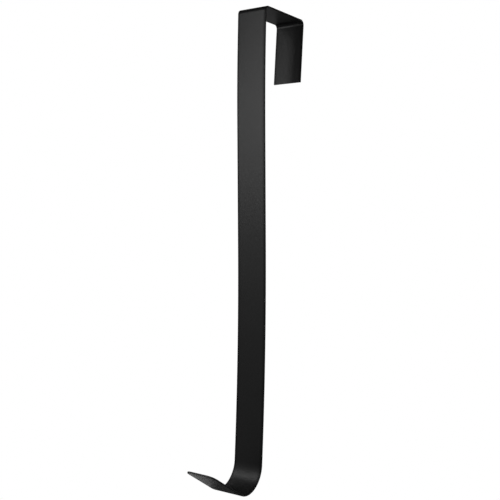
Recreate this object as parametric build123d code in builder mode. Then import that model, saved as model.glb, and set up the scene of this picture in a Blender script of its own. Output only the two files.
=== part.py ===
from build123d import *
import os

# An over-door wreath hook: one flat steel strip, folded over the top of a door, hanging down the
# front of it and turned up at the foot into a hook.
#
# Lengths are in millimetres and angles in degrees.
# X runs across the strip, -Y towards the room, +Y towards the back of the door and +Z up.
# The origin is the middle of the top fold's underside, which sits on the top edge of the door.

# The strip
strip_width = 22.0
strip_thickness = 1.0
edge_round = 0.2  # all round both faces

# The fold over the door
door_slot = 48.0  # clear width under the top fold, between the flanks of its two bends
top_bend_radius = 2.5  # inside of both top bends
leg_run = 40.3  # straight part of the leg behind the door
leg_lean = 5.3  # the leg springs in, towards the door

# The drop down the front of the door, which is not quite straight
upper_run = 16.0
upper_lean = 1.9  # forward, just below the top bend
upper_sweep_radius = 1300.0
middle_run = 83.3
middle_lean = 0.55  # back towards the door
lower_sweep_radius = 1880.0
lower_lean = 3.9  # forward again, where the hook begins

# The hook, whose bend opens out a little before the tip
hook_bend_radius = 15.7  # inside, on the side where the wreath hangs
easing_radius = 37.7  # inside, where the bend opens out
easing_turn = 7.5  # the part of the hook's turn that is made there
tip_rise = 33.9  # the tip's slope above level
tip_run = 33.0  # straight part of the tip
tip_corner_radius = 5.0  # the tip's two free corners, seen from above

# The fold line runs along the middle of the strip's thickness.
half_thickness = strip_thickness / 2
top_bend_midline = top_bend_radius + half_thickness
hook_bend_midline = hook_bend_radius + half_thickness
easing_midline = easing_radius + half_thickness
top_run_half = door_slot / 2 - top_bend_radius

# A thin strip limits how far its edges can be rounded, and its width limits the tip's corners.
edge_radius = min(edge_round, 0.4 * strip_thickness)
corner_radius = min(tip_corner_radius, 0.45 * strip_width)

with BuildPart() as wreath_hook:
    with BuildLine(Plane.YZ) as fold_line:
        top_run = Line((top_run_half, half_thickness), (-top_run_half, half_thickness))

        # Down behind the door
        back_bend = JernArc(top_run @ 0, -(top_run % 0), top_bend_midline, -90 - leg_lean)
        leg = PolarLine(back_bend @ 1, leg_run, direction=back_bend % 1)

        # Down the front of the door
        front_bend = JernArc(top_run @ 1, top_run % 1, top_bend_midline, 90 - upper_lean)
        upper = PolarLine(front_bend @ 1, upper_run, direction=front_bend % 1)
        upper_sweep = JernArc(upper @ 1, upper % 1, upper_sweep_radius, upper_lean + middle_lean)
        middle = PolarLine(upper_sweep @ 1, middle_run, direction=upper_sweep % 1)
        lower_sweep = JernArc(middle @ 1, middle % 1, lower_sweep_radius, -middle_lean - lower_lean)

        # Round the hook and out along the tip
        hook_turn = 90 - lower_lean + tip_rise - easing_turn
        hook_bend = JernArc(lower_sweep @ 1, lower_sweep % 1, hook_bend_midline, -hook_turn)
        easing = JernArc(hook_bend @ 1, hook_bend % 1, easing_midline, -easing_turn)
        tip = PolarLine(easing @ 1, tip_run, direction=easing % 1)

    # The strip's section stands across the end of the leg and follows the fold line to the tip.
    leg_end_plane = Plane(origin=leg @ 1, x_dir=(1, 0, 0), z_dir=leg % 1)
    with BuildSketch(leg_end_plane) as strip_section:
        Rectangle(strip_width, strip_thickness)
    sweep(path=fold_line.wire())

    # Round the tip's two free corners. The leg's corners stay square.
    tip_end = wreath_hook.faces().sort_by_distance(tip @ 1)[0]
    fillet(tip_end.edges().filter_by(Axis.X, reverse=True), corner_radius)

    # Ease the edges of both faces: along the sides, round the tip's corners and across the ends.
    leg_end = wreath_hook.faces().sort_by_distance(leg @ 1)[0]
    tip_end = wreath_hook.faces().sort_by_distance(tip @ 1)[0]
    across_ends = leg_end.edges().filter_by(Axis.X) + tip_end.edges().filter_by(Axis.X)
    side_edges = wreath_hook.faces().filter_by(Axis.X).edges()
    through_thickness = side_edges.group_by(SortBy.LENGTH)[0]
    fillet(side_edges - through_thickness + across_ends, edge_radius)

wreath_hook.part.label = "wreath_hook"

os.makedirs("parts", exist_ok=True)
export_step(wreath_hook.part, "parts/wreath_hook.step")
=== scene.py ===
# %% [markdown]
# An over-door wreath hook is one strip of spring steel. A short leg drops behind the door, a flat
# top rests on it, a long strap hangs down the front, and the foot turns up into the hook that
# carries the wreath. The whole strip is then powder coated black.
#
# The imported model is loaded first. It is a fixed frame in metres: everything made below is placed
# by it, and it stays in the scene, hidden, at the end.

# %% Load the frame
from math import cos, pi, radians, sin

import bmesh
import bpy
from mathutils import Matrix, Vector


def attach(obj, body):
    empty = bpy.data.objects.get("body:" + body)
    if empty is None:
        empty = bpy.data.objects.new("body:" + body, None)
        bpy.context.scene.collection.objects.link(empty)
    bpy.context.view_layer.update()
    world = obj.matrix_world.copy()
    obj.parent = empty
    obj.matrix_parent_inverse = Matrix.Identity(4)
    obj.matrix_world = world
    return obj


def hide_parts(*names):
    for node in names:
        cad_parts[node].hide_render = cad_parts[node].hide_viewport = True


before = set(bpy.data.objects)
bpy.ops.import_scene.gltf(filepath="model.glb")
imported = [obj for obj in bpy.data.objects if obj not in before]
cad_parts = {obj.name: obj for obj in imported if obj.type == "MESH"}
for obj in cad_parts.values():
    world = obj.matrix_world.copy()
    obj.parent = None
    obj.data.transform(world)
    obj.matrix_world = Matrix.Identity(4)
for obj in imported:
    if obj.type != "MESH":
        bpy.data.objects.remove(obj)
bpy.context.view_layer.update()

# %% [markdown]
# The finish, the surroundings and the folding of the strip are all node trees. Long chains of Math
# nodes are hard to read as lists of links, so one small class stands for a node's output and lets
# sums be written as Python: `1 - mask` adds the Math node that it means. Any other node comes from
# its `node` method, which takes the node's type, its settings and what goes into its sockets.

# %% A socket that does sums
class Wire:
    """An output socket in a node tree, or only the tree where no socket is needed yet."""

    def __init__(self, tree, socket=None):
        self.tree = tree
        self.socket = socket

    def node(self, kind, settings=None, inputs=None, output=0):
        """Adds a node, sets it up, feeds its sockets and gives back one of its outputs."""
        made = self.tree.nodes.new(kind)
        for name, setting in (settings or {}).items():
            setattr(made, name, setting)
        for name, fed in (inputs or {}).items():
            self.feed(made.inputs[name], fed)
        return Wire(self.tree, made.outputs[output] if made.outputs else None)

    def feed(self, socket, fed):
        """Links a wire, or each of a list of wires, to a socket, or sets the socket's value."""
        if isinstance(fed, list):
            for each in fed:
                self.tree.links.new(each.socket, socket)
        elif isinstance(fed, Wire):
            self.tree.links.new(fed.socket, socket)
        else:
            socket.default_value = fed

    def maths(self, operation, first, second=0.0):
        return self.node("ShaderNodeMath", {"operation": operation}, {0: first, 1: second})

    def __add__(self, other):
        return self.maths("ADD", self, other)

    def __radd__(self, other):
        return self.maths("ADD", other, self)

    def __sub__(self, other):
        return self.maths("SUBTRACT", self, other)

    def __rsub__(self, other):
        return self.maths("SUBTRACT", other, self)

    def __mul__(self, other):
        return self.maths("MULTIPLY", self, other)

    def __rmul__(self, other):
        return self.maths("MULTIPLY", other, self)

    def __truediv__(self, other):
        return self.maths("DIVIDE", self, other)

    def __abs__(self):
        return self.maths("ABSOLUTE", self)

    def __gt__(self, other):
        return self.maths("GREATER_THAN", self, other)

    def at_least(self, other):
        return self.maths("MAXIMUM", self, other)

    def fade(self, start, end):
        """0 where this wire is at `start` and 1 where it is at `end`, with a soft change between."""
        ends = {"Value": self, "From Min": start, "From Max": end}
        return self.node("ShaderNodeMapRange", {"interpolation_type": "SMOOTHSTEP"}, ends)


# %% [markdown]
# The photograph looks at the hook from the front and well to the right, from about the height of
# the strap's middle, with the camera tipped down a little. The place, the turn and the lens were
# fitted to the outline of the hook, so that every edge falls within a pixel of where it should.

# %% The camera
camera_place = (0.28561, -0.45527, -0.13490)  # in metres
camera_turn = 0.5882  # in radians, to the left of straight ahead
camera_tip = -0.0482  # in radians, below level
photo_side = 500
focal_length_in_pixels = 770.4
sensor_side = 36.0  # in millimetres

camera_data = bpy.data.cameras.new("photo_camera")
camera_data.sensor_width = sensor_side
camera_data.lens = focal_length_in_pixels / photo_side * sensor_side
camera = bpy.data.objects.new("photo_camera", camera_data)
camera.location = camera_place
camera.rotation_euler = (pi / 2 + camera_tip, 0.0, camera_turn)
bpy.context.scene.collection.objects.link(camera)
bpy.context.scene.camera = camera
print("lens", round(camera_data.lens, 2), "mm")

# %% [markdown]
# The hook hangs in the air as it would from a door, over a plain pale floor in a white room. The
# camera and glass see the room as plain white. A glossy black coat shows how a studio is really
# lit: it mirrors the wall on the left as a dim grey, and the rest of the room, above, below and on
# the right, as almost black. So in gloss the same room has a share of its white, which fades with
# the direction: each fade below goes from dark to lit, and 0 is level or straight ahead.

# %% How a ray comes to see the room
def ways_of_seeing(tree):
    """1 or 0 for a ray straight from the camera or through glass, and for one that comes off gloss."""
    straight = tree.node("ShaderNodeLightPath", output="Is Camera Ray")
    through_glass = tree.node("ShaderNodeLightPath", output="Is Transmission Ray")
    off_gloss = tree.node("ShaderNodeLightPath", output="Is Glossy Ray")
    return straight.at_least(through_glass), off_gloss


# %% The white room
room_light = 0.35  # what the room sheds on dull surfaces, where 1 is white
wall_in_gloss = 0.185
rest_in_gloss = 0.01
wall_fade_on_the_right = (0.30, -0.10)
wall_fade_below = (-0.52, -0.30)
wall_fade_above = (0.55, 0.10)
bpy.context.scene.view_settings.view_transform = "Standard"

room = bpy.data.worlds.new("white_room")
bpy.context.scene.world = room
room.use_nodes = True
room.node_tree.nodes.clear()
air = Wire(room.node_tree)
seen_white, seen_in_gloss = ways_of_seeing(air)
lit = 1 - seen_white.at_least(seen_in_gloss)
direction = air.node("ShaderNodeTexCoord", output="Generated")
to_the_right = air.node("ShaderNodeSeparateXYZ", inputs={"Vector": direction}, output="X")
upwards = air.node("ShaderNodeSeparateXYZ", inputs={"Vector": direction}, output="Z")
wall_height = upwards.fade(*wall_fade_below) * upwards.fade(*wall_fade_above)
left_wall = to_the_right.fade(*wall_fade_on_the_right) * wall_height
gloss_strength = rest_in_gloss + (wall_in_gloss - rest_in_gloss) * left_wall
room_strength = seen_white + gloss_strength * seen_in_gloss + room_light * lit
white_air = air.node("ShaderNodeBackground", inputs={"Color": (1, 1, 1, 1), "Strength": room_strength})
air.node("ShaderNodeOutputWorld", inputs={"Surface": white_air})
print("room:", len(room.node_tree.nodes), "nodes")

# %% [markdown]
# The floor is a disc that fades out towards its rim, so it meets the white with no edge and still
# takes the hook's shadow. A little glow keeps it pale under soft light. The camera and glass see all
# of the glow, and gloss sees the share of it that it sees of the wall.

# %% The pale floor
floor_height = -0.90
floor_radius = 0.50
floor_fade_start = 0.20
floor_rim_points = 64
floor_colour = (0.86, 0.86, 0.85, 1.0)
floor_roughness = 0.9
floor_glow = 0.45

floor_mesh = bpy.data.meshes.new("pale_floor")
disc = bmesh.new()
bmesh.ops.create_circle(disc, cap_ends=True, segments=floor_rim_points, radius=floor_radius)
disc.to_mesh(floor_mesh)
disc.free()
floor = bpy.data.objects.new("pale_floor", floor_mesh)
floor.location.z = floor_height
bpy.context.scene.collection.objects.link(floor)

floor_paint = bpy.data.materials.new("pale_floor")
floor_paint.use_nodes = True
floor_paint.node_tree.nodes.clear()
paint = Wire(floor_paint.node_tree)
floor_place = paint.node("ShaderNodeTexCoord", output="Object")
from_middle = paint.node("ShaderNodeVectorMath", {"operation": "LENGTH"}, {0: floor_place}, "Value")
floor_seen, floor_in_gloss = ways_of_seeing(paint)
floor_surface = paint.node("ShaderNodeBsdfPrincipled", inputs={
    "Base Color": floor_colour,
    "Roughness": floor_roughness,
    "Alpha": from_middle.fade(floor_radius, floor_fade_start),
    "Emission Color": floor_glow * (floor_seen + wall_in_gloss * floor_in_gloss),
    "Emission Strength": 1.0,
})
paint.node("ShaderNodeOutputMaterial", inputs={"Surface": floor_surface})
floor_mesh.materials.append(floor_paint)

# %% [markdown]
# A black coat is seen mostly by what it mirrors, so the lamps are chosen for their reflections. A
# tall strip and a panel on the left make the grey of the strap's upper half, which fades towards
# the foot and comes back once in the bend. A narrow card low on the left is the sheen under the tip.
# Panels behind and overhead give the back and the top their sheen, and a large one on the right
# lights the rest softly.

# %% The soft panels
def soft_panel(name, place, aim, sides, brightness):
    """A lamp `brightness` times as bright as white. Its width and height are `sides`, in metres."""
    lamp_data = bpy.data.lights.new(name, "AREA")
    lamp_data.shape = "RECTANGLE"
    lamp_data.size, lamp_data.size_y = sides
    lamp_data.energy = brightness * pi * sides[0] * sides[1]
    lamp = bpy.data.objects.new(name, lamp_data)
    lamp.location = place
    lamp.rotation_euler = (Vector(aim) - Vector(place)).to_track_quat("-Z", "Y").to_euler()
    lamp.visible_camera = False
    bpy.context.scene.collection.objects.link(lamp)


door_top = (0.0, 0.0, 0.0)
strap_top = (0.0, -0.025, -0.03)
strap_middle = (0.0, -0.025, -0.16)
hook_tip = (0.0, -0.08, -0.30)

soft_panel("left_strip", (-0.112, -0.399, 0.016), strap_top, sides=(0.063, 0.256), brightness=9.8)
soft_panel("left_panel", (-0.290, -0.199, -0.057), strap_middle, sides=(0.171, 0.146), brightness=2.8)
soft_panel("low_card", (-0.054, -0.028, -0.306), hook_tip, sides=(0.026, 0.087), brightness=1.3)
soft_panel("back_panel", (0.0, 0.80, -0.32), strap_middle, sides=(0.4, 0.5), brightness=1.0)
soft_panel("back_right_panel", (0.78, 0.42, -0.20), strap_middle, sides=(0.4, 0.6), brightness=2.5)
soft_panel("overhead_panel", (0.08, 0.40, 0.75), door_top, sides=(0.4, 0.4), brightness=3.0)
soft_panel("right_panel", (0.60, -0.75, 0.25), strap_middle, sides=(0.8, 0.8), brightness=1.0)
print("lamps:", [lamp.name for lamp in bpy.data.lights])

# %% [markdown]
# Powder coat starts as dry powder that is melted onto the steel. It flows almost level and stops
# there, which leaves a faint orange-peel swell about two millimetres across and a finer tooth from
# the grains themselves. Both are bump. The gloss drifts a little from place to place with the
# thickness of the coat, so one slow noise moves the roughness and the black together. Along the
# strip's two long edges the coat is made duller, which is painted shade: it darkens both edges. The
# gloss itself has to stay one number, so a second, duller surface is mixed in along the edges.

# %% The coat's colours, sizes and grain
coat_black = (0.0034, 0.0034, 0.0035, 1.0)
coat_black_thick = (0.0046, 0.0046, 0.0047, 1.0)
coat_roughness = 0.39
roughness_drift = 0.05
# Painted shade: the next three sizes give the strip's two long edges a duller coat that darkens them.
edge_shade_gloss = 0.15
edge_shade_start = 0.0085  # from the middle of the strip, in metres as all the sizes here
edge_shade_end = 0.0110
drift_size = 0.020
swell_size = 0.0022
swell_height = 0.000030
tooth_size = 0.00035
tooth_height = 0.000015
noise_middle = 0.5

powder_coat = bpy.data.materials.new("black_powder_coat")
powder_coat.use_nodes = True
powder_coat.node_tree.nodes.clear()
coat = Wire(powder_coat.node_tree)
coat_place = coat.node("ShaderNodeTexCoord", output="Object")


def grain(size, detail):
    """Noise whose lumps are about `size` metres across, from 0 to 1."""
    return coat.node("ShaderNodeTexNoise", {"noise_dimensions": "3D"}, {
        "Vector": coat_place,
        "Scale": 1 / size,
        "Detail": detail,
    }, "Fac")


# %% The powder coat
across_strip = coat.node("ShaderNodeSeparateXYZ", inputs={"Vector": coat_place}, output="X")
# Painted shade: this mask is 1 along the strip's two long edges, where the duller coat darkens them.
edge_shade_mask = abs(across_strip).fade(edge_shade_start, edge_shade_end)
coat_drift = grain(drift_size, detail=2.0)
swell = grain(swell_size, detail=1.0) * swell_height
tooth = grain(tooth_size, detail=2.0) * tooth_height
coat_height = swell + tooth
coat_bump = coat.node("ShaderNodeBump", inputs={"Strength": 1.0, "Distance": 1.0, "Height": coat_height})
coat_colour = coat.node("ShaderNodeMix", {"data_type": "RGBA"}, {
    "Factor": coat_drift,
    "A": coat_black,
    "B": coat_black_thick,
}, "Result")
coat_look = {
    "Base Color": coat_colour,
    "Roughness": coat_roughness + roughness_drift * (coat_drift - noise_middle),
    "Normal": coat_bump,
}
coat_surface = coat.node("ShaderNodeBsdfPrincipled", inputs=coat_look)
# Painted shade: the duller surface, mixed in along the two long edges, darkens them.
edge_shade_look = {**coat_look, "Specular IOR Level": edge_shade_gloss}
edge_shade_surface = coat.node("ShaderNodeBsdfPrincipled", inputs=edge_shade_look)
whole_coat = coat.node("ShaderNodeMixShader", inputs={0: edge_shade_mask, 1: coat_surface, 2: edge_shade_surface})
coat.node("ShaderNodeOutputMaterial", inputs={"Surface": whole_coat})
print("coat:", len(powder_coat.node_tree.nodes), "nodes")

# %% [markdown]
# The strip's shape is a fold list, as a press-brake operator would write it: how far to the next
# bend, at what radius, and how far to turn. These are the driving sizes of the hook, in metres and
# radians, and the radii of the tight bends are taken to the middle of the strip's thickness.

# %% The fold list
millimetre = 0.001
quarter_turn = pi / 2

strip_width = 22.0 * millimetre
strip_thickness = 1.0 * millimetre
edge_round = 0.2 * millimetre

door_slot = 48.0 * millimetre
top_bend_radius = 2.5 * millimetre + strip_thickness / 2
leg_lean = radians(5.3)
upper_lean = radians(1.9)
upper_sweep_radius = 1300.0 * millimetre
middle_lean = radians(0.55)
lower_sweep_radius = 1880.0 * millimetre
lower_lean = radians(3.9)
hook_bend_radius = 15.7 * millimetre + strip_thickness / 2
easing_radius = 37.7 * millimetre + strip_thickness / 2
easing_turn = radians(7.5)
tip_rise = radians(33.9)
tip_corner_radius = 5.0 * millimetre

straight_runs = {
    "Leg": 40.3 * millimetre,
    "Top": door_slot + strip_thickness - 2 * top_bend_radius,
    "Upper": 16.0 * millimetre,
    "Middle": 83.3 * millimetre,
    "Tip": 33.0 * millimetre,
}
bends = {
    "Back bend": (top_bend_radius, quarter_turn + leg_lean),
    "Front bend": (top_bend_radius, quarter_turn - upper_lean),
    "Upper sweep": (upper_sweep_radius, upper_lean + middle_lean),
    "Lower sweep": (lower_sweep_radius, -middle_lean - lower_lean),
    "Hook bend": (hook_bend_radius, lower_lean + easing_turn - quarter_turn - tip_rise),
    "Easing": (easing_radius, -easing_turn),
}

# %% The rows of faces from the leg to the tip, and where the leg ends
rows_of_faces = {
    "Leg": 8,
    "Back bend": 24,
    "Top": 8,
    "Front bend": 24,
    "Upper": 4,
    "Upper sweep": 12,
    "Middle": 16,
    "Lower sweep": 30,
    "Hook bend": 60,
    "Easing": 8,
    "Tip": 4,
}

leg_heading = quarter_turn - leg_lean
bend_middle = Vector((0.0, straight_runs["Top"] / 2, strip_thickness / 2 - top_bend_radius))
leg_top = bend_middle + top_bend_radius * Vector((0.0, cos(leg_lean), -sin(leg_lean)))
leg_end = leg_top - straight_runs["Leg"] * Vector((0.0, cos(leg_heading), sin(leg_heading)))
print("leg end at", [round(part / millimetre, 2) for part in leg_end], "mm")

# %% [markdown]
# The strip could be drawn as a curve of eleven pieces by hand. Geometry Nodes can instead do what
# the press brake does. Stations are marked along a flat strip, closer together at the bends. Every
# bend adds its turn to the heading as the strip runs through it, and adding up the steps in the
# direction of the heading gives the folded line. The rectangular section is then swept along it.

# %% The folding tree
strip_inputs = {
    "Width": strip_width,
    "Thickness": strip_thickness,
    "Leg end": tuple(leg_end),
    "Leg heading": leg_heading,
    "Finish": powder_coat,
}
for name, run in straight_runs.items():
    strip_inputs[name + " length"] = run
for name, (radius, turn) in bends.items():
    strip_inputs[name + " radius"] = radius
    strip_inputs[name + " turn"] = turn

socket_types = {
    float: "NodeSocketFloat",
    tuple: "NodeSocketVector",
    bpy.types.Material: "NodeSocketMaterial",
}
fold_tree = bpy.data.node_groups.new("Strip folded from flat", "GeometryNodeTree")
fold_tree.interface.new_socket("Strip", in_out="OUTPUT", socket_type="NodeSocketGeometry")
identifiers = {}
for name, value in strip_inputs.items():
    socket = fold_tree.interface.new_socket(name, in_out="INPUT", socket_type=socket_types[type(value)])
    identifiers[name] = socket.identifier

entry = fold_tree.nodes.new("NodeGroupInput")
size = {name: Wire(fold_tree, entry.outputs[name]) for name in strip_inputs}
fold = Wire(fold_tree)
print("inputs:", ", ".join(strip_inputs))

# %% Stations along the flat strip, and the heading at each
station_place = fold.node("GeometryNodeInputPosition")
along = fold.node("ShaderNodeSeparateXYZ", inputs={"Vector": station_place}, output="X")
station_before = (fold.node("GeometryNodeInputIndex") - 1).at_least(0)
along_before = fold.node("GeometryNodeFieldAtIndex", {"data_type": "FLOAT"}, {
    "Value": along,
    "Index": station_before,
})
step = along - along_before
step_middle = (along + along_before) / 2

heading = size["Leg heading"]
walked = 0.0
station_lines = []
for name, rows in rows_of_faces.items():
    if name in bends:
        turn = size[name + " turn"]
        length = size[name + " radius"] * abs(turn)
        heading = heading + fold.node("ShaderNodeMapRange", inputs={
            "Value": step_middle,
            "From Min": walked,
            "From Max": walked + length,
            "To Min": 0.0,
            "To Max": turn,
        })
    else:
        length = size[name + " length"]
    is_last = name == "Tip"
    station_lines.append(fold.node("GeometryNodeMeshLine", {"mode": "OFFSET"}, {
        "Count": rows + is_last,
        "Start Location": fold.node("ShaderNodeCombineXYZ", inputs={"X": walked}),
        "Offset": fold.node("ShaderNodeCombineXYZ", inputs={"X": length / rows}),
    }))
    walked = walked + length
print("stations:", sum(rows_of_faces.values()) + 1)

# %% From flat to folded, and the section swept along it
all_stations = fold.node("GeometryNodeJoinGeometry", inputs={"Geometry": station_lines})
station_points = fold.node("GeometryNodeMeshToPoints", inputs={"Mesh": all_stations})
flat_line = fold.node("GeometryNodePointsToCurves", inputs={"Points": station_points, "Weight": along})
folded_step = fold.node("ShaderNodeCombineXYZ", inputs={
    "Y": fold.maths("COSINE", heading) * step,
    "Z": fold.maths("SINE", heading) * step,
})
folded_place = fold.node("GeometryNodeAccumulateField", {"data_type": "FLOAT_VECTOR"}, {
    "Value": folded_step,
}, "Leading")
folded_line = fold.node("GeometryNodeSetPosition", inputs={
    "Geometry": flat_line,
    "Position": folded_place,
    "Offset": size["Leg end"],
})
level_line = fold.node("GeometryNodeSetCurveNormal", {"mode": "FREE"}, {
    "Curve": folded_line,
    "Normal": (1.0, 0.0, 0.0),
})
section = fold.node("GeometryNodeCurvePrimitiveQuadrilateral", inputs={
    "Width": size["Width"],
    "Height": size["Thickness"],
})
swept = fold.node("GeometryNodeCurveToMesh", inputs={
    "Curve": level_line,
    "Profile Curve": section,
    "Fill Caps": True,
})
print("fold and sweep:", len(fold_tree.nodes), "nodes")

# %% [markdown]
# The tip's two free corners are rounded off, so that they don't catch. The outline could be cut to
# that shape after the sweep, but two rounded corners are a bevel of two short edges. The tree only
# marks them: both ends of such an edge are among the sweep's last corners, and both are at one side.

# %% The tip's corners, marked for a bevel
section_corners = 4
corner_count = fold.node("GeometryNodeAttributeDomainSize", inputs={"Geometry": swept}, output="Point Count")
half_a_corner = 0.5  # the bound lies between two counts, so it is never met
end_begins = corner_count - section_corners - half_a_corner
one_end = fold.node("GeometryNodeInputMeshEdgeVertices", output="Vertex Index 1")
other_end = fold.node("GeometryNodeInputMeshEdgeVertices", output="Vertex Index 2")
in_tip_end = (one_end > end_begins) * (other_end > end_begins)
across = fold.node("ShaderNodeSeparateXYZ", inputs={"Vector": station_place}, output="X")
at_a_side = abs(across) > size["Width"] / 4
marked = fold.node("GeometryNodeStoreNamedAttribute", {"data_type": "FLOAT", "domain": "EDGE"}, {
    "Geometry": swept,
    "Name": "bevel_weight_edge",
    "Value": in_tip_end * at_a_side,
})

# %% Smooth shading and the finish
smooth = fold.node("GeometryNodeSetShadeSmooth", inputs={"Geometry": marked})
realized = fold.node("GeometryNodeRealizeInstances", inputs={"Geometry": smooth})
coated = fold.node("GeometryNodeSetMaterial", inputs={"Geometry": realized, "Material": size["Finish"]})
fold.node("NodeGroupOutput", inputs={"Strip": coated})
print("folding tree:", len(fold_tree.nodes), "nodes,", len(strip_inputs), "inputs")

# %% [markdown]
# The first bevel rounds the two marked corners. A sheared strip also has edges that the coat rounds
# over, so a second, small bevel eases every sharp edge. Weighted normals then keep the broad faces
# flat up to that bevel, where plain smooth shading would make them look pillowed. The result becomes
# a plain mesh, and the modifiers go.

# %% The strip as a mesh
corner_rows = 16
edge_rows = 3
sharp_edge = radians(60)

strip = bpy.data.objects.new("wreath_hook_strip", bpy.data.meshes.new("wreath_hook_strip"))
bpy.context.scene.collection.objects.link(strip)
folding = strip.modifiers.new("Folding", "NODES")
folding.node_group = fold_tree
for name, value in strip_inputs.items():
    folding[identifiers[name]] = value

corners = strip.modifiers.new("Tip corners", "BEVEL")
corners.width = tip_corner_radius
corners.segments = corner_rows
corners.limit_method = "WEIGHT"

eased_edges = strip.modifiers.new("Eased edges", "BEVEL")
eased_edges.width = edge_round
eased_edges.segments = edge_rows
eased_edges.limit_method = "ANGLE"
eased_edges.angle_limit = sharp_edge
strip.modifiers.new("Flat faces", "WEIGHTED_NORMAL")

evaluated = bpy.context.evaluated_depsgraph_get()
finished = bpy.data.meshes.new_from_object(strip.evaluated_get(evaluated), depsgraph=evaluated)
strip.modifiers.clear()
strip.data = finished

measured = bmesh.new()
measured.from_mesh(finished)
volume = measured.calc_volume(signed=True) / millimetre ** 3
open_edges = sum(1 for edge in measured.edges if len(edge.link_faces) != 2)
measured.free()
print("strip:", len(finished.polygons), "faces,", round(volume), "mm3,", open_edges, "open edges")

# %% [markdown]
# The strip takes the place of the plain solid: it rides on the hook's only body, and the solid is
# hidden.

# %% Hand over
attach(strip, "root")
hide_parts("wreath_hook")
